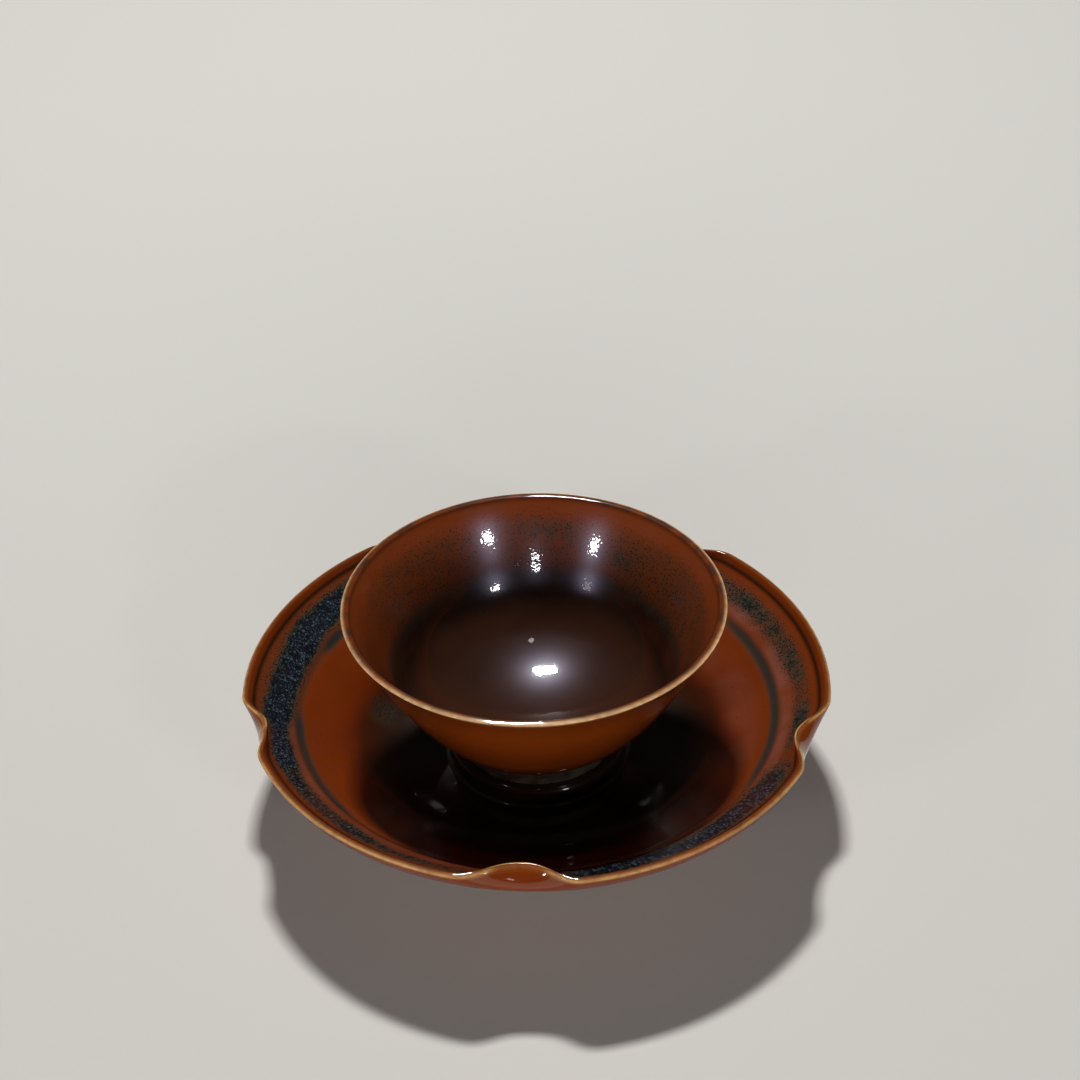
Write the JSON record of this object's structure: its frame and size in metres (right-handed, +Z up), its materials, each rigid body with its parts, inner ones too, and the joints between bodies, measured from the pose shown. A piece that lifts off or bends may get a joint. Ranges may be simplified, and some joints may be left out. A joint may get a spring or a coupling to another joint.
{
  "type": "tea bowl on a foliate cup stand",
  "caption": "Russet-glazed ceramic cup stand: a deep saucer with a pinched, foliate lip, a low seat ring and a hollow foot, carrying its matched flared tea bowl, which lifts off.",
  "frame": {"origin": "middle of the stand's foot, on the surface that it stands on", "axes": "+Z up along the axis that the stand and the bowl were thrown round; -Y towards the viewer of the picture, +X to the right"},
  "size_m": [0.17, 0.1692, 0.0656],
  "materials": {
    "stand_glaze": "glossy russet iron glaze with a band of dark oil spots",
    "bowl_glaze": "glossy russet iron glaze, chocolate inside",
    "foot_clay": "turned stoneware with a thin olive wash"
  },
  "bodies": {
    "stand": {"stand_dish": "stand_glaze", "stand_seat_ring": "stand_glaze", "stand_foot_ring": "foot_clay"},
    "bowl": {"bowl_wall": "bowl_glaze", "bowl_foot_ring": "foot_clay"}
  },
  "joints": [
    {"name": "bowl_lift", "type": "slide", "parent": "stand", "child": "bowl", "axis": [0, 0, 1], "range_m": [0, 0.06]}
  ]
}
